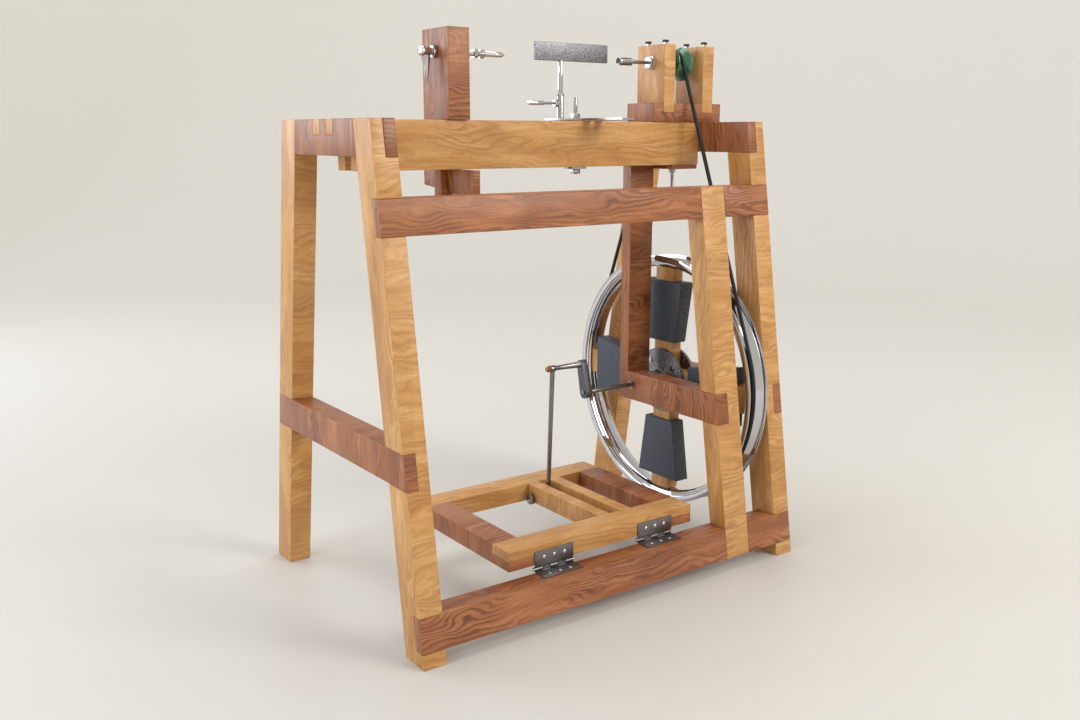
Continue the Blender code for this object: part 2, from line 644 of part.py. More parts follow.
def make_spindle():
    nose, neck, nut = X_LEFT + 0.732, X_LEFT + 0.770, UPRIGHT_X[0][0] - 0.0055
    end = UPRIGHT_X[1][1] + 0.006
    profile = [(nose, 0), (nose, 0.0075), (nose + 0.002, 0.008), (neck, 0.008), (neck, 0.004),
               (nut - 0.006, 0.004), (nut - 0.006, 0.010), (nut, 0.010), (nut, 0.006), (end, 0.006), (end, 0)]
    on_spindle(metal("spindle", turned(profile, about_x(0, SPINDLE_Z), 32)))
    half = [(PULLEY_HALF, 0.036), (PULLEY_HALF - 0.0015, PULLEY_R), (PULLEY_HALF - 0.004, PULLEY_R),
            (0.004, BELT_ON_PULLEY - BELT_R - 0.0004)]
    outline = [(PULLEY_X + PULLEY_HALF, 0.006 + GAP)] + [(PULLEY_X + x, r) for x, r in half]
    outline += [(PULLEY_X - x, r) for x, r in reversed(half)] + [(PULLEY_X - PULLEY_HALF, 0.006 + GAP)]
    pulley = metal("spindle_pulley", turned(outline, about_x(0, SPINDLE_Z), 40, ring=True), (0.06, 0.25, 0.14))
    on_spindle(pulley)


# ---------------------------------------------------------------- tailstock
def on_tailstock(thing):
    return shift_origin(thing, ((TAIL_X[0] + TAIL_X[1]) / 2, 0, HEIGHT))


def wedge_low(y):
    part = (y - WEDGE_Y[0]) / (WEDGE_Y[1] - WEDGE_Y[0])
    return WEDGE_LOW[0] + part * (WEDGE_LOW[1] - WEDGE_LOW[0])


def make_tailstock():
    tongue = BED_GAP / 2 - GAP
    outline = [(-tongue, TAIL_TENON_LOW), (tongue, TAIL_TENON_LOW), (tongue, HEIGHT + GAP),
               (TAIL_HALF, HEIGHT + GAP), (TAIL_HALF, TAIL_TOP), (-TAIL_HALF, TAIL_TOP),
               (-TAIL_HALF, HEIGHT + GAP), (-tongue, HEIGHT + GAP)]
    block = to_object("tailstock", prism(outline, along_x, *TAIL_X), RED)
    cut(block, rod_x((TAIL_X[0] - 0.01, TAIL_X[1] + 0.01), 0, SPINDLE_Z, SCREW_R + GAP))
    slack = 0.0005
    mortise = [(-0.02, wedge_low(-0.02) - GAP), (0.02, wedge_low(0.02) - GAP), (0.02, BED_LOW + 0.002),
               (-0.02, BED_LOW + 0.002)]
    cut(block, prism(mortise, along_x, WEDGE_X[0] - slack, WEDGE_X[1] + slack))
    on_tailstock(ease(block))
    nut = metal("tail_nut", prism(hexagon(0.024), lambda a, b, x: Vector((x, b, SPINDLE_Z + a)),
                                  TAIL_X[0] - 0.0085, TAIL_X[0] - GAP), CHROME, 0.2)
    cut(nut, rod_x((TAIL_X[0] - 0.02, TAIL_X[0] + 0.01), 0, SPINDLE_Z, SCREW_R + GAP, 24))
    on_tailstock(nut)
    top = BED_LOW - GAP
    outline = [(WEDGE_Y[0], WEDGE_LOW[0]), (WEDGE_Y[1], WEDGE_LOW[1]), (WEDGE_Y[1], top), (WEDGE_Y[0], top)]
    wedge = to_object("tail_wedge", prism(outline, along_x, *WEDGE_X), RED)
    shift_origin(ease(wedge), ((WEDGE_X[0] + WEDGE_X[1]) / 2, 0, BED_LOW))


def make_tail_screw():
    x = X_LEFT
    profile = [(x + 0.225, 0), (x + 0.225, SCREW_R), (x + 0.342, SCREW_R), (x + 0.342, 0.0095),
               (x + 0.352, 0.0095), (x + 0.352, SCREW_R), (x + 0.357, SCREW_R), (x + 0.357, 0.0095),
               (x + 0.367, 0.0095), (x + 0.367, SCREW_R), (x + 0.411, SCREW_R), (x + 0.421, 0)]
    here = (x + 0.225, 0, SPINDLE_Z)
    shift_origin(metal("tail_screw", turned(profile, about_x(0, SPINDLE_Z), 24), CHROME, 0.2), here)
    bore = SCREW_R + GAP
    boss = x + 0.2405
    profile = [(x + 0.2248, 0), (x + 0.2248, bore), (boss, bore), (boss, 0.0085), (x + 0.226, 0.0085),
               (x + 0.226, 0.0105), (x + 0.216, 0.0105), (x + 0.216, 0)]
    handle = metal("tail_handle", turned(profile, about_x(0, SPINDLE_Z), 24), CHROME, 0.2)
    taper = [(SPINDLE_Z - 0.069, 0), (SPINDLE_Z - 0.069, 0.0012), (SPINDLE_Z - 0.0075, 0.0098),
             (SPINDLE_Z - 0.0075, 0)]
    join(handle, turned(taper, about_z(x + 0.2305, 0), 24))
    shift_origin(handle, here)


# ---------------------------------------------------------------- tool rest
def on_plate(along, across, z):
    """A point by its distance from the clamp bolt along the plate (towards the rear) and across it."""
    c, s = math.cos(REST_TURN), math.sin(REST_TURN)
    return REST_BOLT + Vector((along * s + across * c, -along * c + across * s, z))


def make_tool_rest():
    low, high = HEIGHT + GAP, HEIGHT + GAP + PLATE_THICK
    post = on_plate(-REST_POST, 0, 0)
    ends = (-REST_POST - 0.025, PLATE_END)
    plate = metal("rest_plate", prism(rect(ends, (-PLATE_HALF, PLATE_HALF)), on_plate, low, high))
    slot_half = 0.0056
    slot = [(a, b) for b, a in arc((0, 0.115), slot_half, 0, math.pi, 10)]
    slot += [(a, b) for b, a in arc((0, -0.008), slot_half, math.pi, 2 * math.pi, 10)]
    cut(plate, prism(slot, on_plate, low - 0.01, high + 0.01))
    socket = turned([(high - 0.002, SOCKET_R), (SOCKET_TOP, SOCKET_R), (SOCKET_TOP, POST_R + GAP),
                     (high - 0.002, POST_R + GAP)], about_z(post.x, post.y), 24, ring=True)
    join(plate, socket)
    lever_z = 1.040
    cut(plate, rod_x((post.x - 0.02, post.x - 0.003), post.y, lever_z, 0.0033, 16))
    shift_origin(plate, REST_BOLT + Vector((0, 0, HEIGHT)))
    tee = metal("tool_post", rod_z((1.030, TEE_Z[0] + 0.005), post.x, post.y, POST_R, 24))
    join(tee, box((post.x + TEE_LENGTH[0], post.x + TEE_LENGTH[1]),
                  (post.y - TEE_THICK / 2, post.y + TEE_THICK / 2), TEE_Z))
    shift_origin(tee, (post.x, post.y, SOCKET_TOP))
    tip = post.x - POST_R - GAP
    profile = [(tip, 0), (tip, 0.003), (tip - 0.0040, 0.003), (tip - 0.0040, 0.0075), (tip - 0.012, 0.0075),
               (tip - 0.012, 0.0033), (tip - 0.040, 0.0033), (tip - 0.040, 0.0050), (tip - 0.082, 0.0050),
               (tip - 0.082, 0)]
    lever = metal("rest_lever", turned(profile, about_x(post.y, lever_z), 24))
    shift_origin(lever, (tip, post.y, lever_z))
    under = BED_LOW - GAP
    profile = [(under - 0.017, 0), (under - 0.017, 0.0105), (under - 0.003, 0.0105), (under - 0.003, 0.005),
               (1.053, 0.005), (1.053, 0)]
    bolt = metal("rest_bolt", turned(profile, about_z(REST_BOLT.x, 0), 24))
    join(bolt, rod_z((under - 0.005, under), REST_BOLT.x, 0, 0.025, 32))
    shift_origin(bolt, REST_BOLT + Vector((0, 0, HEIGHT)))
    nut = metal("rest_nut", prism(hexagon(0.018), lambda a, b, z: Vector((REST_BOLT.x + a, b, z)),
                                  high + GAP, high + 0.011), CHROME, 0.2)
    cut(nut, rod_z((high - 0.01, high + 0.02), REST_BOLT.x, 0, 0.0053, 24))
    shift_origin(nut, REST_BOLT + Vector((0, 0, HEIGHT)))


def main():
    clear_scene()
    make_legs()
    make_side_rails()
    make_bed()
    make_stretchers()
    make_wheel_post()
    make_hanging_post()
    make_bearing_rail()
    make_rim()
    make_spokes()
    make_weights()
    make_hub()
    make_axle()
    make_crank()
    make_belt()
    make_treadle()
    make_hinges()
    make_pitman()
    make_headstock()
    make_spindle()
    make_tailstock()
    make_tail_screw()
    make_tool_rest()


main()
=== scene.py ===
"""Looks for the treadle lathe: materials, machined detail, fasteners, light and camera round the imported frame."""
import json
import math

import bmesh
import bpy
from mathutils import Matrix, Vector


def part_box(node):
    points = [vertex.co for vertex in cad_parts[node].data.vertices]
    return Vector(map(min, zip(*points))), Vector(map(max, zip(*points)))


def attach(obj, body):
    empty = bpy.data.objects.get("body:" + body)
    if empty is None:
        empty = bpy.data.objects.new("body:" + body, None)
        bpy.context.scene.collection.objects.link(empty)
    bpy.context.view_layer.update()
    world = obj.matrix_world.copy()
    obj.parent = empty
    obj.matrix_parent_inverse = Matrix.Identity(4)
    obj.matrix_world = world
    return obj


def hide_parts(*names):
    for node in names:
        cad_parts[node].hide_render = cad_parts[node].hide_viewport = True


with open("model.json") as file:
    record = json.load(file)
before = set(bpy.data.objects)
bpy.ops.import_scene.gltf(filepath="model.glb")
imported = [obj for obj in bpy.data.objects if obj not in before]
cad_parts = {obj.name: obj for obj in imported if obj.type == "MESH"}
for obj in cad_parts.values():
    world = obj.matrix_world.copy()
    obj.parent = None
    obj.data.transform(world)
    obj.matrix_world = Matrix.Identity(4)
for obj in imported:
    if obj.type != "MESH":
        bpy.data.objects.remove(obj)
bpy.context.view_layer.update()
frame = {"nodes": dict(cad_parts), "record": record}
NODES = frame["nodes"]
PIVOT = {j["name"]: Vector(j["pos_m"]) for j in frame["record"]["behaviour"]["joints"] if "pos_m" in j}


def middle(node):
    """The centre of a CAD node's box."""
    low, high = (Vector(corner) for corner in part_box(node))
    return (low + high) / 2


# ---------------------------------------------------------------- materials
class Graph:
    """A Principled material and short calls for the nodes that feed it."""

    def __init__(self, name, **sockets):
        self.mat = bpy.data.materials.new(name)
        self.mat.use_nodes = True
        self.nodes = self.mat.node_tree.nodes
        self.links = self.mat.node_tree.links
        self.shader = self.nodes["Principled BSDF"]
        for key, value in sockets.items():
            self.shader.inputs[key.replace("_", " ")].default_value = value

    def plug(self, source, socket):
        if hasattr(source, "is_output"):
            self.links.new(source, socket)
        elif socket.type == "RGBA":
            socket.default_value = (*source, 1.0)
        else:
            socket.default_value = source

    def node(self, kind, inputs, **settings):
        made = self.nodes.new("ShaderNode" + kind)
        for key, value in settings.items():
            setattr(made, key, value)
        for key, value in inputs.items():
            self.plug(value, made.inputs[key])
        return made

    def math(self, operation, a, b=0.0, clamp=False):
        return self.node("Math", {0: a, 1: b}, operation=operation, use_clamp=clamp).outputs[0]

    def vector(self, operation, a, b=(0, 0, 0)):
        return self.node("VectorMath", {0: a, 1: b}, operation=operation).outputs[0]

    def noise(self, vector, scale, detail=3.0, roughness=0.55, distortion=0.0):
        inputs = {"Vector": vector, "Scale": scale, "Detail": detail, "Roughness": roughness,
                  "Distortion": distortion}
        return self.node("TexNoise", inputs).outputs["Fac"]

    def ramp(self, factor, stops):
        made = self.node("ValToRGB", {"Fac": factor})
        elements = made.color_ramp.elements
        while len(elements) < len(stops):
            elements.new(0.5)
        for element, (place, colour) in zip(elements, stops):
            element.position = place
            element.color = (*colour, 1.0) if hasattr(colour, "__len__") else (colour, colour, colour, 1.0)
        return made.outputs["Color"]

    def blend(self, factor, a, b):
        made = self.node("Mix", {"Factor": factor}, data_type="RGBA")
        self.plug(a, made.inputs[6])
        self.plug(b, made.inputs[7])
        return made.outputs[2]

    def choose(self, factor, a, b):
        made = self.node("Mix", {"Factor": factor}, data_type="VECTOR")
        self.plug(a, made.inputs[4])
        self.plug(b, made.inputs[5])
        return made.outputs[1]

    def bump(self, height, distance, strength=1.0):
        made = self.node("Bump", {"Height": height, "Distance": distance, "Strength": strength})
        self.plug(made.outputs["Normal"], self.shader.inputs["Normal"])

    def out(self, socket, source):
        self.plug(source, self.shader.inputs[socket])
        return self.mat


def wood(name, pale, mid, dark, shade, wave, rings, contrast):
    """Sawn timber: contour grain that runs along X on the long faces and upright on the end ones, with pores,
    fine fibre and slow changes of tone. Every piece is cut from another part of the log."""
    g = Graph(name, Specular_IOR_Level=0.5)
    coord = g.node("TexCoord", {})
    place = coord.outputs["Object"]
    luck = g.node("ObjectInfo", {}).outputs["Random"]
    x, y, z = g.node("SeparateXYZ", {"Vector": place}).outputs[:3]
    facing = g.node("SeparateXYZ", {"Vector": coord.outputs["Normal"]}).outputs
    on_side = g.math("GREATER_THAN", g.math("ABSOLUTE", facing[0]), 0.7)
    on_top = g.math("GREATER_THAN", g.math("ABSOLUTE", facing[2]), 0.7)
    front = g.node("CombineXYZ", {"X": x, "Y": z, "Z": y}).outputs[0]
    side = g.node("CombineXYZ", {"X": z, "Y": y, "Z": x}).outputs[0]
    face = g.choose(on_side, front, side)
    face = g.choose(on_top, face, place)
    shift = g.node("CombineXYZ", {"X": g.math("MULTIPLY", luck, 31.0), "Y": g.math("MULTIPLY", luck, 17.0),
                                  "Z": g.math("MULTIPLY", luck, 7.0)}).outputs[0]
    cut = g.vector("ADD", face, shift)
    across = g.node("SeparateXYZ", {"Vector": cut}).outputs[1]
    swell = g.noise(g.vector("MULTIPLY", cut, (5.0, 15.0, 9.0)), 1.0, 1.0, 0.5, 0.4)
    ripple = g.noise(g.vector("MULTIPLY", cut, (24.0, 60.0, 40.0)), 1.0, 2.0, 0.5)
    height = g.math("ADD", g.math("MULTIPLY", across, rings), g.math("MULTIPLY", swell, wave))
    height = g.math("ADD", height, g.math("MULTIPLY", ripple, 1.3))
    broad = g.ramp(g.math("FRACT", height), [(0.0, 0.0), (0.30, 0.0), (0.66, 1.0), (0.80, 1.0), (1.0, 0.0)])
    narrow = g.ramp(g.math("FRACT", g.math("MULTIPLY", height, 2.7)),
                    [(0.0, 0.0), (0.45, 0.0), (0.75, 1.0), (1.0, 0.0)])
    strength = g.noise(g.vector("MULTIPLY", cut, (5.0, 21.0, 12.0)), 1.0, 2.0, 0.5)
    clear = g.ramp(strength, [(0.36, contrast * 0.25), (0.62, contrast)])
    light = g.noise(g.vector("MULTIPLY", cut, (7.0, 46.0, 30.0)), 1.0, 2.0, 0.5)
    colour = g.blend(g.ramp(light, [(0.40, 0.0), (0.68, 0.85)]), mid, pale)
    tone = g.noise(g.vector("MULTIPLY", cut, (4.0, 13.0, 8.0)), 1.0, 1.0, 0.5, 0.6)
    colour = g.blend(g.ramp(tone, [(0.50, 0.0), (0.60, 0.55), (0.75, 0.75)]), colour, shade)
    colour = g.blend(g.math("MULTIPLY", broad, clear), colour, dark)
    colour = g.blend(g.math("MULTIPLY", narrow, g.math("MULTIPLY", clear, 0.55)), colour, dark)
    fibre = g.noise(g.vector("MULTIPLY", cut, (26.0, 800.0, 800.0)), 1.0, 3.0, 0.7)
    colour = g.blend(g.ramp(fibre, [(0.30, 0.30), (0.70, 0.0)]), colour, dark)
    pores = g.noise(g.vector("MULTIPLY", cut, (75.0, 1500.0, 1500.0)), 1.0, 1.0, 0.5)
    pore = g.ramp(pores, [(0.60, 0.0), (0.68, 1.0)])
    colour = g.blend(g.math("MULTIPLY", pore, 0.3), colour, tuple(c * 0.45 for c in dark))
    g.out("Base Color", colour)
    g.out("Roughness", g.ramp(fibre, [(0.2, 0.46), (0.8, 0.34)]))
    g.bump(g.math("SUBTRACT", g.math("MULTIPLY", fibre, 0.4), g.math("MULTIPLY", pore, 0.6)), 0.0002, 0.25)
    return g.mat


def rgb(r, g, b):
    """A colour given as the eye sees it, 0 to 255, as the shader's linear value."""
    values = [c / 255 for c in (r, g, b)]
    return tuple(c / 12.92 if c <= 0.04045 else ((c + 0.055) / 1.055) ** 2.4 for c in values)


def metal(name, colour, roughness, speckle=0.0, brushed=0.0, scratches=0.1):
    """Machined or plated metal: a base finish with a fine speckle, brushed lines and rub marks."""
    g = Graph(name, Metallic=1.0)
    place = g.node("TexCoord", {}).outputs["Object"]
    fine = g.noise(g.vector("MULTIPLY", place, (420, 420, 420)), 1.0, 2.0, 0.7)
    cloud = g.noise(g.vector("MULTIPLY", place, (30, 30, 30)), 1.0, 4.0, 0.6)
    lines = g.noise(g.vector("MULTIPLY", place, (60, 1800, 1800)), 1.0, 2.0, 0.6)
    darker = tuple(c * (1 - 0.7 * speckle) for c in colour)
    lighter = tuple(min(1.0, c * (1 + 0.9 * speckle)) for c in colour)
    tint = g.ramp(fine, [(0.40, darker), (0.5, colour), (0.60, lighter)])
    tint = g.blend(g.ramp(cloud, [(0.35, 0.0), (0.8, 0.25)]), tint, tuple(c * 0.6 for c in colour))
    g.out("Base Color", tint)
    rough = g.math("ADD", roughness, g.math("MULTIPLY", g.math("SUBTRACT", cloud, 0.5), scratches))
    rough = g.math("ADD", rough, g.math("MULTIPLY", g.math("SUBTRACT", fine, 0.5), speckle * 0.6), True)
    g.out("Roughness", rough)
    if brushed:
        g.bump(lines, 0.0001, brushed)
    elif speckle:
        g.bump(fine, 0.0002, speckle * 0.5)
    return g.mat


def coated(name, colour, roughness, speckle=0.0, coat=0.0):
    """Paint, cast coating or rubber, with a fine grain and a little dust as a lighter random mottle."""
    g = Graph(name, Coat_Weight=coat, Coat_Roughness=0.08)
    place = g.node("TexCoord", {}).outputs["Object"]
    fine = g.noise(g.vector("MULTIPLY", place, (440, 440, 440)), 1.0, 2.0, 0.7)
    cloud = g.noise(g.vector("MULTIPLY", place, (38, 38, 38)), 1.0, 4.0, 0.6)
    darker = tuple(c * (1 - 0.6 * speckle) for c in colour)
    lighter = tuple(min(1.0, c * (1 + 2.2 * speckle)) for c in colour)
    tint = g.ramp(fine, [(0.40, darker), (0.5, colour), (0.62, lighter)])
    tint = g.blend(g.ramp(cloud, [(0.4, 0.0), (0.75, 0.35)]), tint, tuple(c * 1.5 for c in colour))
    g.out("Base Color", tint)
    g.out("Roughness", g.math("ADD", roughness, g.math("MULTIPLY", g.math("SUBTRACT", cloud, 0.5), 0.25), True))
    g.bump(fine, 0.0002, 0.15 + speckle * 0.5)
    return g.mat


OAK = wood("oak", pale=rgb(226, 178, 118), mid=rgb(206, 154, 90), dark=rgb(156, 104, 52),
           shade=rgb(184, 128, 64), wave=7.5, rings=62.0, contrast=0.55)
RED = wood("red_timber", pale=rgb(198, 132, 88), mid=rgb(166, 102, 60), dark=rgb(102, 54, 30),
           shade=rgb(136, 78, 44), wave=10.0, rings=105.0, contrast=0.8)
CHROME = metal("chrome", (0.62, 0.62, 0.645), 0.05, scratches=0.06)
BRIGHT = metal("bright_steel", (0.50, 0.50, 0.52), 0.14, brushed=0.15)
STEEL = metal("speckled_steel", (0.22, 0.22, 0.24), 0.46, speckle=1.0)
HINGE = metal("hinge_steel", (0.20, 0.19, 0.188), 0.36, speckle=0.15)
DARK = metal("dark_steel", (0.25, 0.245, 0.24), 0.24, speckle=0.25)
SHAFT = metal("shaft_steel", (0.24, 0.232, 0.228), 0.24, speckle=0.4)
CAST = metal("cast_steel", (0.125, 0.13, 0.145), 0.40, speckle=0.8)
BRONZE = metal("bronze", (0.36, 0.20, 0.11), 0.3, speckle=0.2)
SLATE = coated("slate_casting", rgb(52, 58, 68), 0.5, speckle=0.9)
GREEN = coated("green_enamel", rgb(40, 108, 80), 0.22, speckle=0.1, coat=0.8)
RUBBER = coated("black_rubber", rgb(8, 8, 9), 0.6, speckle=0.2)
BLACK = coated("black_oxide", rgb(16, 16, 17), 0.4, speckle=0.3)
FINISH = {"oak": OAK, "red_timber": RED, "bright_metal": CHROME, "steel": STEEL, "dark_steel": DARK,
          "weight": SLATE, "pulley": GREEN, "belt": RUBBER, "bush": BRONZE}

SLOT = {part["node"]: part["material_slot"] for part in frame["record"]["subparts"]}
BODY = {node: body for body, members in frame["record"]["behaviour"]["bodies"].items() for node in members}
for part in frame["record"]["subparts"]:
    holder = NODES[part["node"]]
    holder.data.materials.clear()
    holder.data.materials.append(FINISH[part["material_slot"]])


# ---------------------------------------------------------------- shapes
def publish(name, bm, material, body=None, *stands_for, slot=None, angle=35):
    """Links a mesh as a piece, shades it, gives it its finish and joins it to a CAD body."""
    bmesh.ops.remove_doubles(bm, verts=bm.verts, dist=1e-6)
    bmesh.ops.recalc_face_normals(bm, faces=bm.faces)
    mesh = bpy.data.meshes.new(name)
    bm.to_mesh(mesh)
    bm.free()
    mesh.shade_smooth()
    mesh.set_sharp_from_angle(angle=math.radians(angle))
    thing = bpy.data.objects.new(name, mesh)
    bpy.context.collection.objects.link(thing)
    if material:
        mesh.materials.append(material)
    if body:
        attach(thing, body)
    if stands_for:
        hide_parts(*stands_for)
    return thing


def lathe(outline, place, segments=48, ring=False, swap=False, bm=None):
    """Spins (along, radius) points. place(along, angle, radius) gives a position; swap hands it
    (radius, angle, height) instead, for an outline written that way round."""
    bm = bm or bmesh.new()
    loops = []
    for a, b in outline:
        radius = a if swap else b
        angles = [0.0] if radius == 0 else [2 * math.pi * i / segments for i in range(segments)]
        loops.append([bm.verts.new(place(a, t, b)) for t in angles])
    pairs = list(zip(loops, loops[1:]))
    if ring:
        pairs.append((loops[-1], loops[0]))
    for one, two in pairs:
        for i in range(segments):
            j = (i + 1) % segments
            corners = [one[i % len(one)], one[j % len(one)], two[j % len(two)], two[i % len(two)]]
            bm.faces.new(list(dict.fromkeys(corners)))
    return bm


def round_x(y, z):
    """Places lathe points round an axis along X."""
    return lambda along, t, r: Vector((along, y + r * math.cos(t), z + r * math.sin(t)))


def round_z(x, y):
    """Places lathe points round an upright axis."""
    return lambda along, t, r: Vector((x + r * math.cos(t), y + r * math.sin(t), along))


def soft_rod(low, high, radius, edge=0.0006):
    """The outline of a plain bar with eased ends."""
    return [(low, 0), (low, radius - edge), (low + edge * 0.3, radius - edge * 0.3), (low + edge, radius),
            (high - edge, radius), (high - edge * 0.3, radius - edge * 0.3), (high, radius - edge), (high, 0)]


def skin(bm, rings, closed=False):
    """Joins each ring of vertices to the next, and the last to the first when closed."""
    for one, two in zip(rings, rings[1:] + (rings[:1] if closed else [])):
        for i in range(len(one)):
            j = (i + 1) % len(one)
            bm.faces.new((one[i], one[j], two[j], two[i]))


def threaded(low, high, radius, pitch, place, bm, segments=20):
    """A bar with a helical thread: four rows a turn, each lifted or sunk by where the helix is."""
    depth = pitch * 0.30
    rows = max(2, int((high - low) / pitch * 4))
    grid = []
    for k in range(rows + 1):
        along = low + (high - low) * k / rows
        row = []
        for i in range(segments):
            turn = (along / pitch - i / segments) % 1.0
            r = radius - depth * abs(2 * turn - 1)
            row.append(bm.verts.new(place(along, 2 * math.pi * i / segments, r)))
        grid.append(row)
    skin(bm, grid)
    bm.faces.new(grid[0])
    bm.faces.new(list(reversed(grid[-1])))
    return bm


def hex_nut(low, high, across, bore, place, bm, turn=0.0):
    """A hexagon with its corners chamfered to a circle at both faces, and a bore."""
    segments = 72
    flat = across / 2
    edge = (high - low) * 0.16
    limits = [(low, bore), (low, flat * 0.96), (low + edge, None), (high - edge, None), (high, flat * 0.96),
              (high, bore)]
    loops = []
    for along, limit in limits:
        row = []
        for i in range(segments):
            t = 2 * math.pi * i / segments
            side = ((t + math.pi / 6) % (math.pi / 3)) - math.pi / 6
            r = flat / math.cos(side) if limit is None else limit
            row.append(bm.verts.new(place(along, t + turn, r)))
        loops.append(row)
    skin(bm, loops, closed=True)
    return bm


def cross_screw(centre, normal, radius, height, bm):
    """A domed screw head with a cross recess, standing on a surface."""
    basis = Vector(normal).to_track_quat("Z", "Y").to_matrix()
    segments, turn = 32, 0.4

    def star(i, wide, narrow):
        return wide if i % 8 in (0, 1, 7) else narrow

    rings = [(height * 0.25, 0.0, 0.0), (height * 0.25, 0.40, 0.16), (height * 0.98, 0.52, 0.20),
             (height, 0.58, 0.58), (height * 0.72, 0.84, 0.84), (height * 0.2, 1.0, 1.0), (-0.0004, 1.0, 1.0)]
    loops = []
    for up, wide, narrow in rings:
        count = 1 if wide == 0 else segments
        loops.append([bm.verts.new(Vector(centre) + basis @ Vector((
            radius * star(i, wide, narrow) * math.cos(turn + 2 * math.pi * i / segments),
            radius * star(i, wide, narrow) * math.sin(turn + 2 * math.pi * i / segments), up)))
            for i in range(count)])
    for one, two in zip(loops, loops[1:]):
        for i in range(segments):
            j = (i + 1) % segments
            corners = [one[i % len(one)], one[j % len(one)], two[j], two[i]]
            bm.faces.new(list(dict.fromkeys(corners)))
    bm.faces.new(list(reversed(loops[-1])))
    return bm


def softened(node, width, material, body, segments=3):
    """The CAD shape with every hard edge rounded over."""
    bm = bmesh.new()
    bm.from_mesh(NODES[node].data)
    bmesh.ops.remove_doubles(bm, verts=bm.verts, dist=2e-5)
    bmesh.ops.dissolve_limit(bm, angle_limit=math.radians(1), verts=bm.verts, edges=bm.edges)
    edges = [e for e in bm.edges if len(e.link_faces) == 2 and e.calc_face_angle(0) > math.radians(35)]
    bmesh.ops.bevel(bm, geom=edges, offset=width, segments=segments, profile=0.5, affect="EDGES",
                    clamp_overlap=True)
    publish(f"{node}_body", bm, material, body, node, slot=SLOT[node], angle=30)


def rounded_box(bm, spans, edge=0.0004, segments=2):
    """A box between three pairs of limits, with every edge broken."""
    made = bmesh.ops.create_cube(bm, size=1.0)["verts"]
    for v in made:
        v.co = Vector([a if c < 0 else b for c, (a, b) in zip(v.co, spans)])
    edges = list(dict.fromkeys(e for v in made for e in v.link_edges))
    bmesh.ops.bevel(bm, geom=edges, offset=edge, segments=segments, profile=0.5, affect="EDGES")


# ---------------------------------------------------------------- stage, light and camera
def make_stage():
    """A round pale floor that rises into a soft wall far behind, so no edge shows from any side."""
    radius, bend, top = 4.5, 2.5, 6.0
    outline = [(0.0, 0.0)]
    outline += [(radius + bend * math.sin(t), bend - bend * math.cos(t))
                for t in (math.pi / 2 * i / 16 for i in range(17))]
    outline.append((radius + bend, top))
    mesh = lathe(outline, lambda r, t, z: Vector((r * math.cos(t), r * math.sin(t), z)), 96, swap=True)
    floor = publish("floor", mesh, None)
    g = Graph("pale_floor", Specular_IOR_Level=0.3)
    place = g.node("TexCoord", {}).outputs["Object"]
    x, y, z = g.node("SeparateXYZ", {"Vector": place}).outputs[:3]
    square = g.math("ADD", g.math("MULTIPLY", x, x), g.math("MULTIPLY", y, y))
    farthest = 9.0
    away = g.math("MULTIPLY", g.math("ADD", g.math("SQRT", square), z), 1.0 / farthest)
    # Painted shade and painted light: the floor's colour is darkest near the middle, round and under the lathe, and
    # grows paler outwards and up the wall.
    g.out("Base Color", g.ramp(away, [(0.08, (0.60, 0.588, 0.562)), (0.50, (0.86, 0.845, 0.81)),
                                      (1.0, (0.93, 0.915, 0.88))]))
    g.out("Roughness", g.ramp(g.noise(place, 0.5, 1.0), [(0.3, 0.38), (0.7, 0.42)]))
    floor.data.materials.append(g.mat)


def area(name, place, aim, size, power, colour):
    """A rectangular light at a place, turned to face its aim."""
    data = bpy.data.lights.new(name, "AREA")
    data.shape = "RECTANGLE"
    data.size, data.size_y = size
    data.energy = power
    data.color = colour
    light = bpy.data.objects.new(name, data)
    light.location = place
    light.rotation_euler = (Vector(aim) - Vector(place)).to_track_quat("-Z", "Y").to_euler()
    bpy.context.collection.objects.link(light)


def make_light():
    """A soft pale surround with one warm key, two cool fills and a light overhead."""
    world = bpy.data.worlds.new("studio")
    world.use_nodes = True
    world.node_tree.nodes["Background"].inputs["Color"].default_value = (1.0, 0.97, 0.92, 1.0)
    world.node_tree.nodes["Background"].inputs["Strength"].default_value = 0.62
    bpy.context.scene.world = world
    area("key", (1.9, -3.6, 2.9), (0, 0, 0.6), (2.0, 2.0), 105, (1.0, 0.96, 0.90))
    area("cool_side", (-3.8, -0.4, 1.5), (0, 0, 0.7), (1.4, 2.0), 40, (0.86, 0.91, 1.0))
    area("cool_rear", (-2.9, 3.2, 1.9), (-0.2, 0, 0.9), (3.0, 1.9), 75, (0.80, 0.88, 1.0))
    area("overhead", (0.2, 0.6, 3.8), (0, 0, 0.5), (2.4, 2.4), 50, (1.0, 0.98, 0.95))


def make_camera():
    """A standing camera behind the lathe, towards its tailstock end."""
    data = bpy.data.cameras.new("camera")
    data.lens = 35.15
    data.sensor_width = 36
    camera = bpy.data.objects.new("camera", data)
    camera.location = (-1.3698, -1.9264, 0.9677)
    camera.rotation_euler = (math.radians(78.014), 0, math.radians(-35.524))
    bpy.context.collection.objects.link(camera)
    bpy.context.scene.camera = camera


# ---------------------------------------------------------------- wheel and drive
WHEEL = middle("wheel_rim")
PULLEY = middle("spindle_pulley")
BELT_R = (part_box("drive_belt")[1][0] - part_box("drive_belt")[0][0]) / 2
BELT_ON_WHEEL = 0.2955  # the belt's centre line, as in its solid
BELT_ON_PULLEY = 0.0265
CRANK_WIDTH = 0.016  # the arm, along the axle
SCREW_CIRCLE = 0.058  # the hub screws' distance from the axle
KNURLS, KNURL_TWIST = 16, 1400  # ridges round the drive head, and their turn in radians a metre


def mirrored(half):
    """A closed section from its points on one side of the middle."""
    return [(x, r) for x, r in half] + [(-x, r) for x, r in reversed(half)]


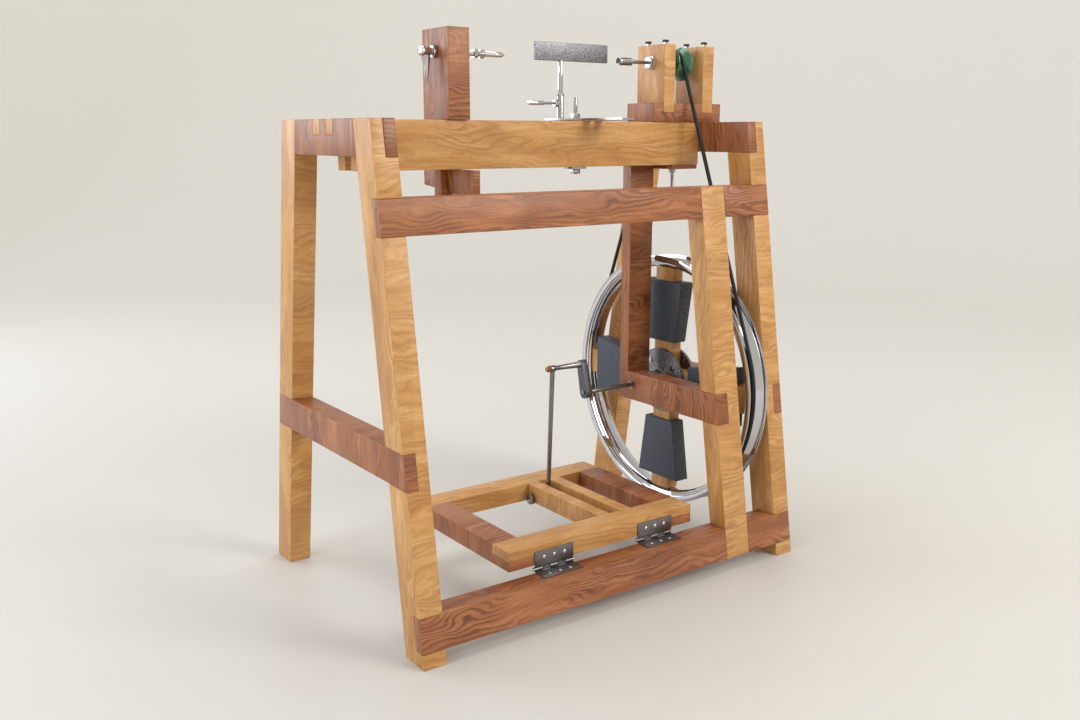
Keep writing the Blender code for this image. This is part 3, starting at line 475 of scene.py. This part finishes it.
def make_rim():
    """The rim's turned section: two round beads, a belt groove and a stepped inside."""
    outer = [(0.0300, 0.2985), (0.0302, 0.3040), (0.0300, 0.3080), (0.0293, 0.3103), (0.0279, 0.3111),
             (0.0264, 0.3105), (0.0256, 0.3085), (0.0252, 0.3050), (0.0243, 0.3022), (0.0228, 0.3006),
             (0.0150, 0.2955), (0.0085, 0.2912), (0.0060, 0.2899)]
    inner = [(0.0060, 0.2832), (0.0095, 0.2838), (0.0115, 0.2858), (0.0135, 0.2862), (0.0155, 0.2880),
             (0.0185, 0.2884), (0.0205, 0.2912), (0.0240, 0.2918), (0.0262, 0.2950), (0.0285, 0.2957)]
    section = outer + [(-x, r) for x, r in reversed(outer)] + [(-x, r) for x, r in reversed(inner)] + inner
    section = [(WHEEL.x + x, r) for x, r in section]
    bm = lathe(section, round_x(WHEEL.y, WHEEL.z), 192, ring=True)
    publish("rim_turned", bm, CHROME, "flywheel", "wheel_rim", slot="bright_metal")


def make_belt():
    """A smooth round belt along the same loop as its CAD solid."""
    lean = math.asin((BELT_ON_WHEEL - BELT_ON_PULLEY) / (PULLEY.z - WHEEL.z))
    path = []
    bends = ((WHEEL.z, BELT_ON_WHEEL, math.pi - lean, 2 * math.pi + lean, 160),
             (PULLEY.z, BELT_ON_PULLEY, lean, math.pi - lean, 40))
    for centre, radius, start, end, steps in bends:
        for i in range(steps + 1):
            t = start + (end - start) * i / steps
            path.append((radius * math.cos(t), centre + radius * math.sin(t), t))
    bm = bmesh.new()
    rows, around = [], 16
    along = Vector((1, 0, 0))
    for y, z, t in path:
        middle_line = Vector((WHEEL.x, y, z))
        out = Vector((0, math.cos(t), math.sin(t)))
        rows.append([bm.verts.new(middle_line + BELT_R * (math.cos(a) * along + math.sin(a) * out))
                     for a in (2 * math.pi * k / around for k in range(around))])
    skin(bm, rows, closed=True)
    publish("belt_round", bm, RUBBER, "frame", "drive_belt", slot="belt")


def make_pulley():
    """A grooved pulley with rounded flanges."""
    half = [(0.0215, 0.0068), (0.0215, 0.0125), (0.0195, 0.0150), (0.0195, 0.0310), (0.0213, 0.0335),
            (0.0215, 0.0372), (0.0208, 0.0385), (0.0196, 0.0390), (0.0182, 0.0387), (0.0172, 0.0376),
            (0.0110, 0.0300), (0.0052, 0.0226), (0.0030, 0.0216)]
    section = [(PULLEY.x + x, r) for x, r in mirrored(half)]
    bm = lathe(section, round_x(PULLEY.y, PULLEY.z), 96, ring=True)
    publish("pulley_turned", bm, GREEN, "spindle", "spindle_pulley", slot="pulley")


def make_hub():
    """Stepped plates with a ring of cap screws, on both sides of the spokes."""
    for node, sign in (("hub_plate_left", -1), ("hub_plate_right", 1)):
        low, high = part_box(node)
        back, face = (high[0], low[0]) if sign < 0 else (low[0], high[0])
        radius = (high[2] - low[2]) / 2
        section = [(back, 0.0086), (back, radius - 0.0008), (back + sign * 0.0008, radius),
                   (face - sign * 0.0018, radius), (face - sign * 0.0005, radius - 0.0007), (face, radius - 0.0022),
                   (face, 0.0290), (face + sign * 0.0012, 0.0270), (face + sign * 0.0050, 0.0260),
                   (face + sign * 0.0060, 0.0250), (face + sign * 0.0060, 0.0086)]
        bm = lathe(section, round_x(WHEEL.y, WHEEL.z), 96, ring=True)
        publish(f"{node}_turned", bm, STEEL, "flywheel", node, slot="steel")
        bm = bmesh.new()
        for k in range(4):
            t = math.radians(52) + math.pi / 2 * k
            at = round_x(WHEEL.y + SCREW_CIRCLE * math.cos(t), WHEEL.z + SCREW_CIRCLE * math.sin(t))
            ends = sorted((face + sign * 0.0001, face + sign * 0.0048))
            hex_nut(*ends, 0.0125, 0.0022, at, bm, t)
            for height, radius, segments in ((0.0008, 0.0080, 24), (0.0040, 0.0022, 16)):
                end = face + sign * height
                lathe([(face, 0.0), (face, radius), (end, radius), (end, 0.0)], at, segments, bm=bm)
        publish(f"{node}_screws", bm, CHROME, "flywheel", slot="bright_metal")


def make_axle():
    """The axle with its neck and end collar, the crank arm and the crank pin's tapered sleeve."""
    low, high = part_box("axle")
    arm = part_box("crank_arm")
    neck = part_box("bearing_rail")[0][0] - 0.004
    end = high[0]
    section = soft_rod(low[0], low[0] + 0.02, 0.005)[:4]
    section += [(neck, 0.005), (neck, 0.0074), (neck + 0.0006, 0.008), (end - 0.009, 0.008), (end - 0.009, 0.0134),
                (end - 0.0084, 0.014), (end - 0.0006, 0.014), (end, 0.0134), (end, 0.004), (end - 0.001, 0.003),
                (end - 0.001, 0)]
    bm = lathe(section, round_x(WHEEL.y, WHEEL.z), 48)
    publish("axle_turned", bm, SHAFT, "flywheel", "axle", slot="steel")
    softened("crank_arm", 0.0009, CAST, "flywheel")
    pin = middle("crank_nut")
    inner = arm[1][0] - CRANK_WIDTH
    sleeve = [(inner - 0.0600, 0.0050), (inner - 0.0600, 0.0057), (inner - 0.0020, 0.0076), (inner, 0.0086),
              (inner + 0.0010, 0.0086), (inner + 0.0010, 0.0050)]
    bm = lathe(sleeve, round_x(pin.y, pin.z), 32, ring=True)
    publish("crank_pin_sleeve", bm, SHAFT, "flywheel", slot="steel")
    bm = bmesh.new()
    hex_nut(end + 0.0002, end + 0.0040, 0.0180, 0.0040, round_x(WHEEL.y, WHEEL.z), bm)
    publish("axle_end_cap", bm, BRIGHT, "flywheel", slot="bright_metal")


# ---------------------------------------------------------------- pitman and treadle
def make_pitman():
    """The pitman, the nut and stub in its top eye, and the bolt through its foot."""
    low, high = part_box("crank_nut")
    eye = middle("crank_nut")
    foot = PIVOT["pitman_swing"]
    softened("pitman", 0.0006, DARK, "pitman")
    start = low[0]
    section = [(high[0] - 0.001, 0), (high[0] - 0.001, 0.0050), (start + 0.0117, 0.0050), (start + 0.0117, 0.0080),
               (start + 0.0112, 0.0085), (start + 0.0105, 0.0085), (start + 0.0100, 0.0078), (start + 0.0100, 0.0035),
               (start + 0.0040, 0.0035), (start + 0.0032, 0.0060), (start + 0.0022, 0.0066),
               (start + 0.0006, 0.0052), (start, 0.0030), (start, 0)]
    bm = lathe(section, round_x(eye.y, eye.z), 32)
    hex_nut(start + 0.0042, start + 0.0099, 0.0135, 0.0036, round_x(eye.y, eye.z), bm)
    publish("crank_pin_nut", bm, BRONZE, "pitman", "crank_nut", slot="dark_steel")
    low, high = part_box("pitman_bolt")
    section = [(low[0], 0), (low[0], 0.0100), (low[0] + 0.0008, 0.0120), (low[0] + 0.0022, 0.0130),
               (low[0] + 0.0104, 0.0130), (low[0] + 0.0110, 0.0125), (low[0] + 0.0110, 0.0040),
               (high[0] - 0.0008, 0.0040), (high[0], 0.0032), (high[0], 0)]
    bm = lathe(section, round_x(foot.y, foot.z), 48)
    hex_nut(high[0] - 0.0058, high[0] - 0.0010, 0.0140, 0.0041, round_x(foot.y, foot.z), bm)
    publish("pitman_bolt_turned", bm, DARK, "treadle", "pitman_bolt", slot="dark_steel")


def make_hinges():
    """Thin leaves wrapped round five knuckles, the pin's ends, and three cross-head screws a leaf."""
    pin = PIVOT["treadle_rock"]
    barrel, leaf, gap = 0.0045, 0.0020, 0.0003
    front, rear = pin.y - 0.0043, pin.y - 0.0023  # the upper leaf's faces
    for index in (1, 2):
        for kind, body in (("lower", "frame"), ("upper", "treadle")):
            node = f"hinge_leaf_{kind}_{index}"
            low, high = (Vector(c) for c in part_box(f"hinge_leaf_lower_{index}"))
            knuckle = (high.x - low.x) / 5
            bm = bmesh.new()
            if kind == "lower":
                rounded_box(bm, [(low.x, high.x), (low.y, pin.y - barrel - 0.0010), (low.z, low.z + leaf)])
            else:
                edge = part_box(node)[1][2]
                rounded_box(bm, [(low.x, high.x), (front, rear), (pin.z + barrel + 0.0010, edge)])
            for i in range(0 if kind == "lower" else 1, 5, 2):
                start, end = low.x + knuckle * i + gap, low.x + knuckle * (i + 1) - gap
                curl = [(start, 0.0023), (start, barrel - 0.0005), (start + 0.0005, barrel),
                        (end - 0.0005, barrel), (end, barrel - 0.0005), (end, 0.0023)]
                lathe(curl, round_x(pin.y, pin.z), 32, ring=True, bm=bm)
                if kind == "lower":
                    web = [(pin.y - barrel - 0.0030, pin.y - 0.0012), (low.z, low.z + leaf)]
                else:
                    web = [(front, rear), (pin.z + 0.0012, pin.z + barrel + 0.0030)]
                rounded_box(bm, [(start, end), *web])
            publish(f"{node}_body", bm, HINGE, body, node, slot=SLOT[node], angle=30)
            centre = (low.x + high.x) / 2
            bm = bmesh.new()
            for step in (-0.026, 0.0, 0.026):
                if kind == "lower":
                    cross_screw((centre + step, pin.y - 0.0250, low.z + leaf), (0, 0, 1), 0.0044, 0.0012, bm)
                else:
                    cross_screw((centre + step, front, pin.z + 0.0240), (0, -1, 0), 0.0044, 0.0014, bm)
            publish(f"{node}_screws", bm, CHROME, body, slot="bright_metal")
        bm = bmesh.new()
        for end, way in ((low.x, -1), (high.x, 1)):
            lathe([(end - way * 0.0190, 0), (end - way * 0.0190, 0.0020), (end, 0.0020), (end, 0.0036),
                   (end + way * 0.0010, 0.0036), (end + way * 0.0020, 0.0024), (end + way * 0.0024, 0)],
                  round_x(pin.y, pin.z), 24, bm=bm)
        publish(f"hinge_pin_ends_{index}", bm, BRIGHT, "frame", slot="bright_metal")


# ---------------------------------------------------------------- headstock
def make_headstock():
    """The bearings with their seals, the screws on top of the uprights, and the bolt through the base."""
    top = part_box("headstock_upright_left")[1][2]
    for hand, sign in (("left", 1), ("right", -1)):
        low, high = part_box(f"spindle_bearing_{hand}")
        face = low[0] if sign > 0 else high[0]
        back = high[0] if sign > 0 else low[0]
        section = [(face, 0.0105), (face, 0.0118), (face + sign * 0.0006, 0.0126), (face + sign * 0.0008, 0.0142),
                   (face + sign * 0.0018, 0.0151), (face + sign * 0.0034, 0.0152), (face + sign * 0.0037, 0.0148),
                   (face + sign * 0.0037, 0.0100), (back, 0.0100), (back, 0.0068), (face + sign * 0.0014, 0.0068),
                   (face + sign * 0.0014, 0.0105)]
        bm = lathe(section, round_x(PULLEY.y, PULLEY.z), 64, ring=True)
        publish(f"bearing_flange_{hand}", bm, CHROME, "frame", f"spindle_bearing_{hand}", slot="bright_metal")
        seal = [(face + sign * 0.0006, 0.0072), (face + sign * 0.0003, 0.0086), (face + sign * 0.0006, 0.0104),
                (face + sign * 0.0013, 0.0104), (face + sign * 0.0013, 0.0072)]
        bm = lathe(seal, round_x(PULLEY.y, PULLEY.z), 48, ring=True)
        publish(f"bearing_seal_{hand}", bm, BLACK, "frame", slot="dark_steel")
        upright = middle(f"headstock_upright_{hand}")
        collars, caps = bmesh.new(), bmesh.new()
        for y in (-0.030, 0.030):
            at = round_z(upright.x, upright.y + y)
            lathe([(top + 0.0001, 0), (top + 0.0001, 0.0078), (top + 0.0012, 0.0078), (top + 0.0014, 0.0054),
                   (top + 0.0050, 0.0054), (top + 0.0050, 0)], at, 36, bm=collars)
            lathe([(top + 0.0050, 0), (top + 0.0050, 0.0070), (top + 0.0054, 0.0074), (top + 0.0100, 0.0074),
                   (top + 0.0106, 0.0068), (top + 0.0106, 0.0040), (top + 0.0080, 0.0038), (top + 0.0080, 0)],
                  at, 36, bm=caps)
        publish(f"bearing_collars_{hand}", collars, CHROME, "frame", slot="bright_metal")
        publish(f"bearing_caps_{hand}", caps, BLACK, "frame", slot="dark_steel")
    low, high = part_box("headstock_bolt")
    bolt = middle("headstock_bolt")
    at = round_z(bolt.x, bolt.y)
    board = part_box("clamp_board")[0][2]
    bm = bmesh.new()
    threaded(low[2], board - 0.0004, 0.0049, 0.00175, at, bm)
    lathe([(board - 0.0020, 0), (board - 0.0020, 0.0105), (board - 0.0004, 0.0105), (board - 0.0004, 0)],
          at, 36, bm=bm)
    hex_nut(board - 0.0100, board - 0.0021, 0.0165, 0.0047, at, bm)
    lathe(soft_rod(board - 0.0005, high[2] - 0.0070, 0.0050), at, 32, bm=bm)
    lathe([(high[2] - 0.0070, 0), (high[2] - 0.0070, 0.0090), (high[2] - 0.0010, 0.0090), (high[2], 0.0080),
           (high[2], 0.0042), (high[2] - 0.0030, 0.0040), (high[2] - 0.0030, 0)], at, 36, bm=bm)
    publish("headstock_bolt_cut", bm, CHROME, "frame", "headstock_bolt", slot="bright_metal")


def make_spindle():
    """The spindle: a knurled drive head with a dimpled face, a slim neck and a locknut."""
    low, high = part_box("spindle")
    at = round_x(PULLEY.y, PULLEY.z)
    nose, neck = low[0], low[0] + 0.038
    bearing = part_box("spindle_bearing_left")[0][0]
    bm = bmesh.new()
    rows, around = 36, 64
    grid = []
    for k in range(rows + 1):
        along = nose + 0.0030 + (neck - nose - 0.0050) * k / rows
        row = []
        for i in range(around):
            t = 2 * math.pi * i / around
            knurl = max(math.cos(KNURLS * t + along * KNURL_TWIST), math.cos(KNURLS * t - along * KNURL_TWIST))
            radius = 0.0089 if k in (0, rows) else 0.0085 + 0.0004 * knurl  # plain ends meet the turned ones
            row.append(bm.verts.new(at(along, t, radius)))
        grid.append(row)
    skin(bm, grid)
    lathe([(nose + 0.0012, 0), (nose, 0.0016), (nose, 0.0074), (nose + 0.0012, 0.0088), (nose + 0.0030, 0.0089)],
          at, around, bm=bm)
    lathe([(neck - 0.0020, 0.0089), (neck - 0.0006, 0.0086), (neck, 0.0076), (neck, 0.0040),
           (bearing - 0.0076, 0.0040), (bearing - 0.0076, 0)], at, around, bm=bm)
    face = [(nose - 0.0004, 0), (nose - 0.0004, 0.0076), (nose + 0.0010, 0.0090), (nose + 0.0064, 0.0092),
            (nose + 0.0070, 0.0088), (nose + 0.0070, 0.0080), (nose + 0.0010, 0.0076), (nose + 0.0002, 0)]
    publish("spindle_face", lathe(face, at, 48), BRIGHT, "spindle", slot="bright_metal")
    publish("spindle_knurled", bm, SHAFT, "spindle", "spindle", slot="bright_metal")
    bm = bmesh.new()
    hex_nut(bearing - 0.0075, bearing - 0.0012, 0.0260, 0.0041, at, bm)
    lathe(soft_rod(bearing - 0.0017, high[0], 0.0060), at, 40, bm=bm)
    publish("spindle_locknut", bm, CHROME, "spindle", slot="bright_metal")


# ---------------------------------------------------------------- tailstock
def make_tail():
    """The tailstock's fixed nut, its pointed screw with two locknuts, and the handle."""
    at = round_x(PULLEY.y, PULLEY.z)
    low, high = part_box("tail_nut")
    bm = hex_nut(low[0], high[0], 0.0238, 0.0066, at, bmesh.new(), math.pi / 6)
    publish("tail_nut_cut", bm, CHROME, "tailstock", "tail_nut", slot="bright_metal")
    low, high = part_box("tail_screw")
    start, tip = low[0], high[0]
    bm = bmesh.new()
    threaded(start, tip - 0.024, 0.0060, 0.0020, at, bm, 24)
    for offset in (0.117, 0.132):
        hex_nut(start + offset, start + offset + 0.010, 0.0180, 0.0058, at, bm, math.pi / 6 + offset * 9)
    lathe([(tip - 0.0250, 0), (tip - 0.0250, 0.0052), (tip - 0.0240, 0.0060), (tip - 0.0105, 0.0060),
           (tip - 0.0006, 0.0006), (tip, 0)], at, 40, bm=bm)
    publish("tail_screw_cut", bm, CHROME, "tail_screw", "tail_screw", slot="bright_metal")
    low, high = (Vector(c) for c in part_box("tail_handle"))
    knob = low.x
    section = [(knob, 0), (knob, 0.0088), (knob + 0.0006, 0.0099), (knob + 0.0016, 0.0105), (knob + 0.0084, 0.0105),
               (knob + 0.0094, 0.0099), (knob + 0.0100, 0.0088), (high.x - 0.0006, 0.0085), (high.x, 0.0079),
               (high.x, 0.0066), (knob + 0.0084, 0.0066), (knob + 0.0084, 0)]
    bm = lathe(section, at, 48)
    shank = knob + 0.0145
    lathe([(low.z, 0), (low.z + 0.0002, 0.0009), (low.z + 0.0010, 0.0014), (PULLEY.z - 0.0120, 0.0091),
           (PULLEY.z - 0.0085, 0.0096), (PULLEY.z - 0.0076, 0.0090), (PULLEY.z - 0.0076, 0)],
          round_z(shank, PULLEY.y), 40, bm=bm)
    publish("tail_handle_turned", bm, CHROME, "tail_handle", "tail_handle", slot="bright_metal")


# ---------------------------------------------------------------- tool rest
def make_rest():
    """The tool rest: clamp bolt, washer and nut, plate, tool post with its tee, collar and lever."""
    bolt = middle("rest_nut")
    at = round_z(bolt.x, bolt.y)
    softened("rest_plate", 0.0006, BRIGHT, "rest_base")
    low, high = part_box("rest_bolt")
    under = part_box("bed_rail_rear")[0][2] - 0.0003
    plate_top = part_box("rest_nut")[0][2]
    bm = bmesh.new()
    hex_nut(low[2], under - 0.0052, 0.0205, 0.0044, at, bm)
    lathe(soft_rod(low[2] + 0.0006, plate_top, 0.0048), at, 32, bm=bm)
    threaded(plate_top - 0.001, high[2] - 0.0006, 0.0049, 0.00175, at, bm)
    publish("rest_bolt_cut", bm, CHROME, "rest_clamp", "rest_bolt", slot="bright_metal")
    washer = [(under - 0.0050, 0.0050), (under - 0.0050, 0.0242), (under - 0.0044, 0.0250), (under - 0.0006, 0.0250),
              (under, 0.0244), (under, 0.0050)]
    publish("rest_under_washer", lathe(washer, at, 64, ring=True), BRIGHT, "rest_clamp", slot="steel")
    low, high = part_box("rest_nut")
    bm = hex_nut(low[2] + 0.0014, high[2], 0.0180, 0.0052, at, bmesh.new())
    lathe([(low[2], 0.0052), (low[2], 0.0100), (low[2] + 0.0003, 0.0104), (low[2] + 0.0013, 0.0104),
           (low[2] + 0.0013, 0.0052)], at, 40, ring=True, bm=bm)
    publish("rest_nut_cut", bm, CHROME, "rest_clamp", "rest_nut", slot="bright_metal")
    low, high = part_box("tool_post")
    post = PIVOT["rest_lever_turn"]
    upright = round_z(post.x, post.y)
    bm = lathe(soft_rod(low[2], high[2] - 0.0395, 0.0060), upright, 40)
    publish("tool_post_round", bm, CHROME, "tool_post", slot="bright_metal")
    bm = bmesh.new()
    sides = [(low[0], high[0]), (post.y - 0.0045, post.y + 0.0045), (high[2] - 0.040, high[2])]
    rounded_box(bm, sides, 0.0009, 3)
    publish("tool_tee", bm, STEEL, "tool_post", "tool_post", slot="steel")
    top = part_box("rest_plate")[1][2]
    section = [(top, 0.0064), (top, 0.0082), (top - 0.0006, 0.0090), (top - 0.0060, 0.0090), (top - 0.0066, 0.0086),
               (top - 0.0066, 0.0064)]
    bm = lathe(section, upright, 40, ring=True)
    publish("socket_collar", bm, CHROME, "rest_base", slot="bright_metal")
    low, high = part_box("rest_lever")
    tip = high[0]
    section = [(tip, 0), (tip, 0.0026), (tip - 0.0004, 0.0030), (tip - 0.0040, 0.0030), (tip - 0.0120, 0.0033),
               (tip - 0.0380, 0.0036), (tip - 0.0400, 0.0045), (tip - 0.0412, 0.0050), (low[0] + 0.0010, 0.0053),
               (low[0] + 0.0003, 0.0050), (low[0], 0.0042), (low[0], 0)]
    bm = lathe(section, round_x(post.y, post.z), 40)
    hex_nut(tip - 0.0110, tip - 0.0030, 0.0160, 0.0030, round_x(post.y, post.z), bm)
    publish("rest_lever_turned", bm, CHROME, "rest_lever", "rest_lever", slot="bright_metal")


# ---------------------------------------------------------------- assembly
bpy.context.scene.view_settings.view_transform = "Standard"
for piece, finish in SLOT.items():
    if finish in ("oak", "red_timber"):
        softened(piece, 0.0007, FINISH[finish], BODY[piece], segments=2)
    elif finish == "weight":
        softened(piece, 0.0006, SLATE, BODY[piece])
make_rim()
make_belt()
make_pulley()
make_hub()
make_axle()
make_pitman()
make_hinges()
make_headstock()
make_spindle()
make_tail()
make_rest()
make_stage()
make_light()
make_camera()
